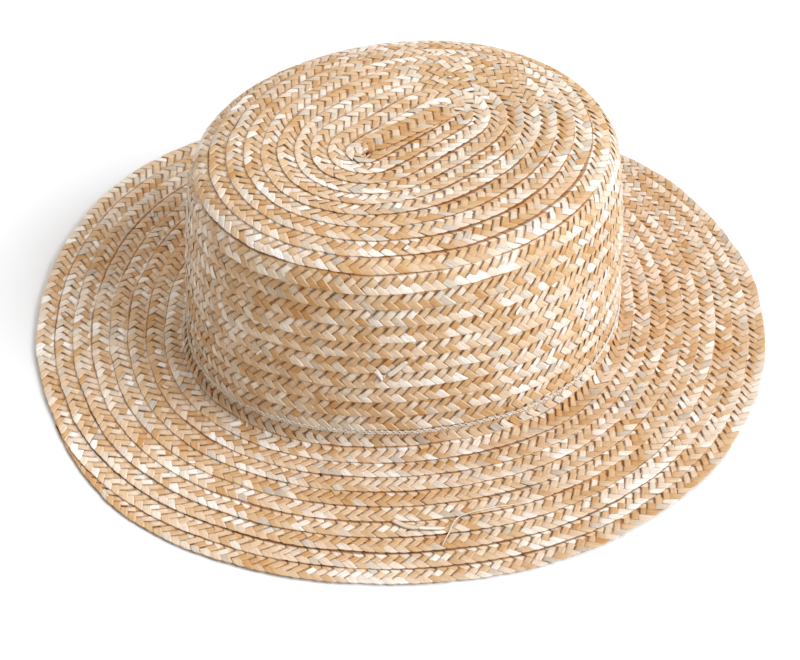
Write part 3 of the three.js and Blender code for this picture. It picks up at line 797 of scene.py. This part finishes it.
# a splice in a brim row, with its cut straw standing off the row, and a frayed join on the side
ends.append(loose_ribbon(-89.6, 25.80, -85.2, 26.42, 0.10, 0.42, 2.5, 4, 0.9, 14, 61))
ends.append(loose_ribbon(-85.4, 26.40, -81.2, 26.52, 0.42, 0.06, 2.1, 5, 0.2, 14, 62))
ends.append(loose_ribbon(-91.6, 15.98, -87.1, 15.00, 0.02, 0.75, 2.7, 5, 0.5, 14, 63))
ends.append(loose_ribbon(-94.9, 15.72, -93.0, 16.20, 0.00, 0.90, 1.5, 6, -0.8, 10, 64))
ends.append(loose_ribbon(-94.4, 15.55, -92.4, 15.95, 0.10, 0.70, 0.8, 6, 1.0, 10, 65))
ends.append(loose_ribbon(-93.7, 16.40, -92.2, 15.82, 0.00, 0.62, 1.1, 3, 0.8, 10, 66))
closed_ribbons("sprung_straw_ends", ends, M_BRIM, ["brim_plait"])


# the end of the sewing thread that has pulled out of two brim rows
_k = np.array([(27.62, -82.0, -0.1), (27.20, -81.25, 0.42), (26.72, -80.4, 0.5), (26.30, -79.75, 0.4), (25.97, -78.75, 0.45),
               (25.78, -77.1, 0.3), (25.70, -75.0, 0.32), (25.68, -71.5, 0.25), (25.84, -66.5, -0.15)])
_u = np.linspace(0, len(_k) - 1, 90)
_ct = [spline(np.arange(len(_k)), _k[:, c], _u) for c in range(3)]
_pp = chart(_ct[0], _ct[1] - OVAL_TURN, _ct[2])
grid_mesh("brim_thread_pulled_end", tube(_pp, normal(_ct[0], _ct[1] - OVAL_TURN), 0.22 * (1 + 0.15 * noise1(_u, 44, 0.4)), 6),
          M_BTHREAD, ["brim_thread"])

# ------------------------------------------------------------ floor, light, camera
def plain(name, colour, rough):
    m = bpy.data.materials.new(name)
    m.use_nodes = True
    b = m.node_tree.nodes["Principled BSDF"]
    b.inputs["Base Color"].default_value = (*colour, 1)
    b.inputs["Roughness"].default_value = rough
    b.inputs["Specular IOR Level"].default_value = 0.2
    return m


# floor and a low round backdrop in one sweep
prof = [(0.0, 0.0), (1.2, 0.0), (3.6, 0.0), (4.3, 0.05), (4.7, 0.25), (4.95, 0.65), (5.0, 1.1), (5.0, 2.4)]
seg = 64
verts = [(r * math.cos(2 * math.pi * i / seg), r * math.sin(2 * math.pi * i / seg), z - 0.0001) for r, z in prof[1:] for i in range(seg)]
verts.append((0, 0, -0.0001))
faces = [(i, (i + 1) % seg, len(verts) - 1) for i in range(seg)]
for k in range(len(prof) - 2):
    faces += [(k * seg + i, (k + 1) * seg + i, (k + 1) * seg + (i + 1) % seg, k * seg + (i + 1) % seg) for i in range(seg)]
me = bpy.data.meshes.new("floor")
me.from_pydata(verts, [], faces)
me.polygons.foreach_set("use_smooth", [True] * len(faces))
pale = plain("floor_pale", (0.93, 0.93, 0.93), 0.9)
_n, _l = pale.node_tree.nodes, pale.node_tree.links
_at, _xyz, _up, _mix = (_n.new("ShaderNodeNewGeometry"), _n.new("ShaderNodeSeparateXYZ"),
                        _n.new("ShaderNodeMapRange"), _n.new("ShaderNodeMix"))
_up.interpolation_type = "SMOOTHSTEP"
_up.inputs[1].default_value, _up.inputs[2].default_value = 0.01, 0.80    # the backdrop darkens as it rises
_mix.data_type = "RGBA"
_mix.inputs[6].default_value, _mix.inputs[7].default_value = (0.93, 0.93, 0.93, 1), (0.38, 0.375, 0.37, 1)
_l.new(_at.outputs["Position"], _xyz.inputs[0])
_l.new(_xyz.outputs[2], _up.inputs[0])
_l.new(_up.outputs[0], _mix.inputs[0])
_l.new(_mix.outputs[2], _n["Principled BSDF"].inputs["Base Color"])
me.materials.append(pale)
floor = bpy.data.objects.new("floor", me)
bpy.context.scene.collection.objects.link(floor)

world = bpy.data.worlds.new("studio")
bpy.context.scene.world = world
world.use_nodes = True
world.node_tree.nodes["Background"].inputs[0].default_value = (1.0, 0.88, 0.73, 1)
world.node_tree.nodes["Background"].inputs[1].default_value = 0.13


def soft_sun(name, towards, angle, strength, colour):
    from mathutils import Vector
    d = bpy.data.lights.new(name, "SUN")
    d.angle = math.radians(angle)
    d.energy = strength * math.pi
    d.color = colour
    o = bpy.data.objects.new(name, d)
    bpy.context.scene.collection.objects.link(o)
    o.location = [1.5 * c for c in towards]
    o.rotation_euler = Vector([-c for c in towards]).to_track_quat("-Z", "Y").to_euler()
    return o


soft_sun("key_right", (0.79, 0.30, 0.53), 52, 1.58, (1.0, 1.06, 1.15))
soft_sun("fill_above_left", (-0.28, 0.26, 0.92), 60, 0.43, (1.0, 0.98, 0.94))

LOOK = np.array([0.0013, 0.0022, 0.0519])
EL, AZ = math.radians(35.47), math.radians(45.05)
cam_d = bpy.data.cameras.new("camera")
cam = bpy.data.objects.new("camera", cam_d)
bpy.context.scene.collection.objects.link(cam)
cam_d.sensor_width = 36.0
cam_d.lens = 2236.7 / 800 * 36.0
cam_d.clip_start, cam_d.clip_end = 0.05, 50
ahead = -np.array([math.cos(EL) * math.sin(AZ), -math.cos(EL) * math.cos(AZ), math.sin(EL)])
right = np.array([math.cos(AZ), math.sin(AZ), 0.0])
up = np.cross(right, ahead)
loc = LOOK - 0.906 * ahead
# the photograph's principal point is off its middle, so the axis is turned by that much
u0, v0, f = 405.5, 217.4, 2236.7
axis = ahead * f + right * (400 - u0) + up * (v0 - 330)
axis /= np.linalg.norm(axis)
r2 = np.cross(axis, (0, 0, 1)); r2 /= np.linalg.norm(r2)
u2 = np.cross(r2, axis)
from mathutils import Matrix
cam.matrix_world = Matrix([(r2[0], u2[0], -axis[0], loc[0]), (r2[1], u2[1], -axis[1], loc[1]),
                           (r2[2], u2[2], -axis[2], loc[2]), (0, 0, 0, 1)])
bpy.context.scene.camera = cam
try:
    bpy.context.scene.view_settings.view_transform = "Standard"
except TypeError:
    pass
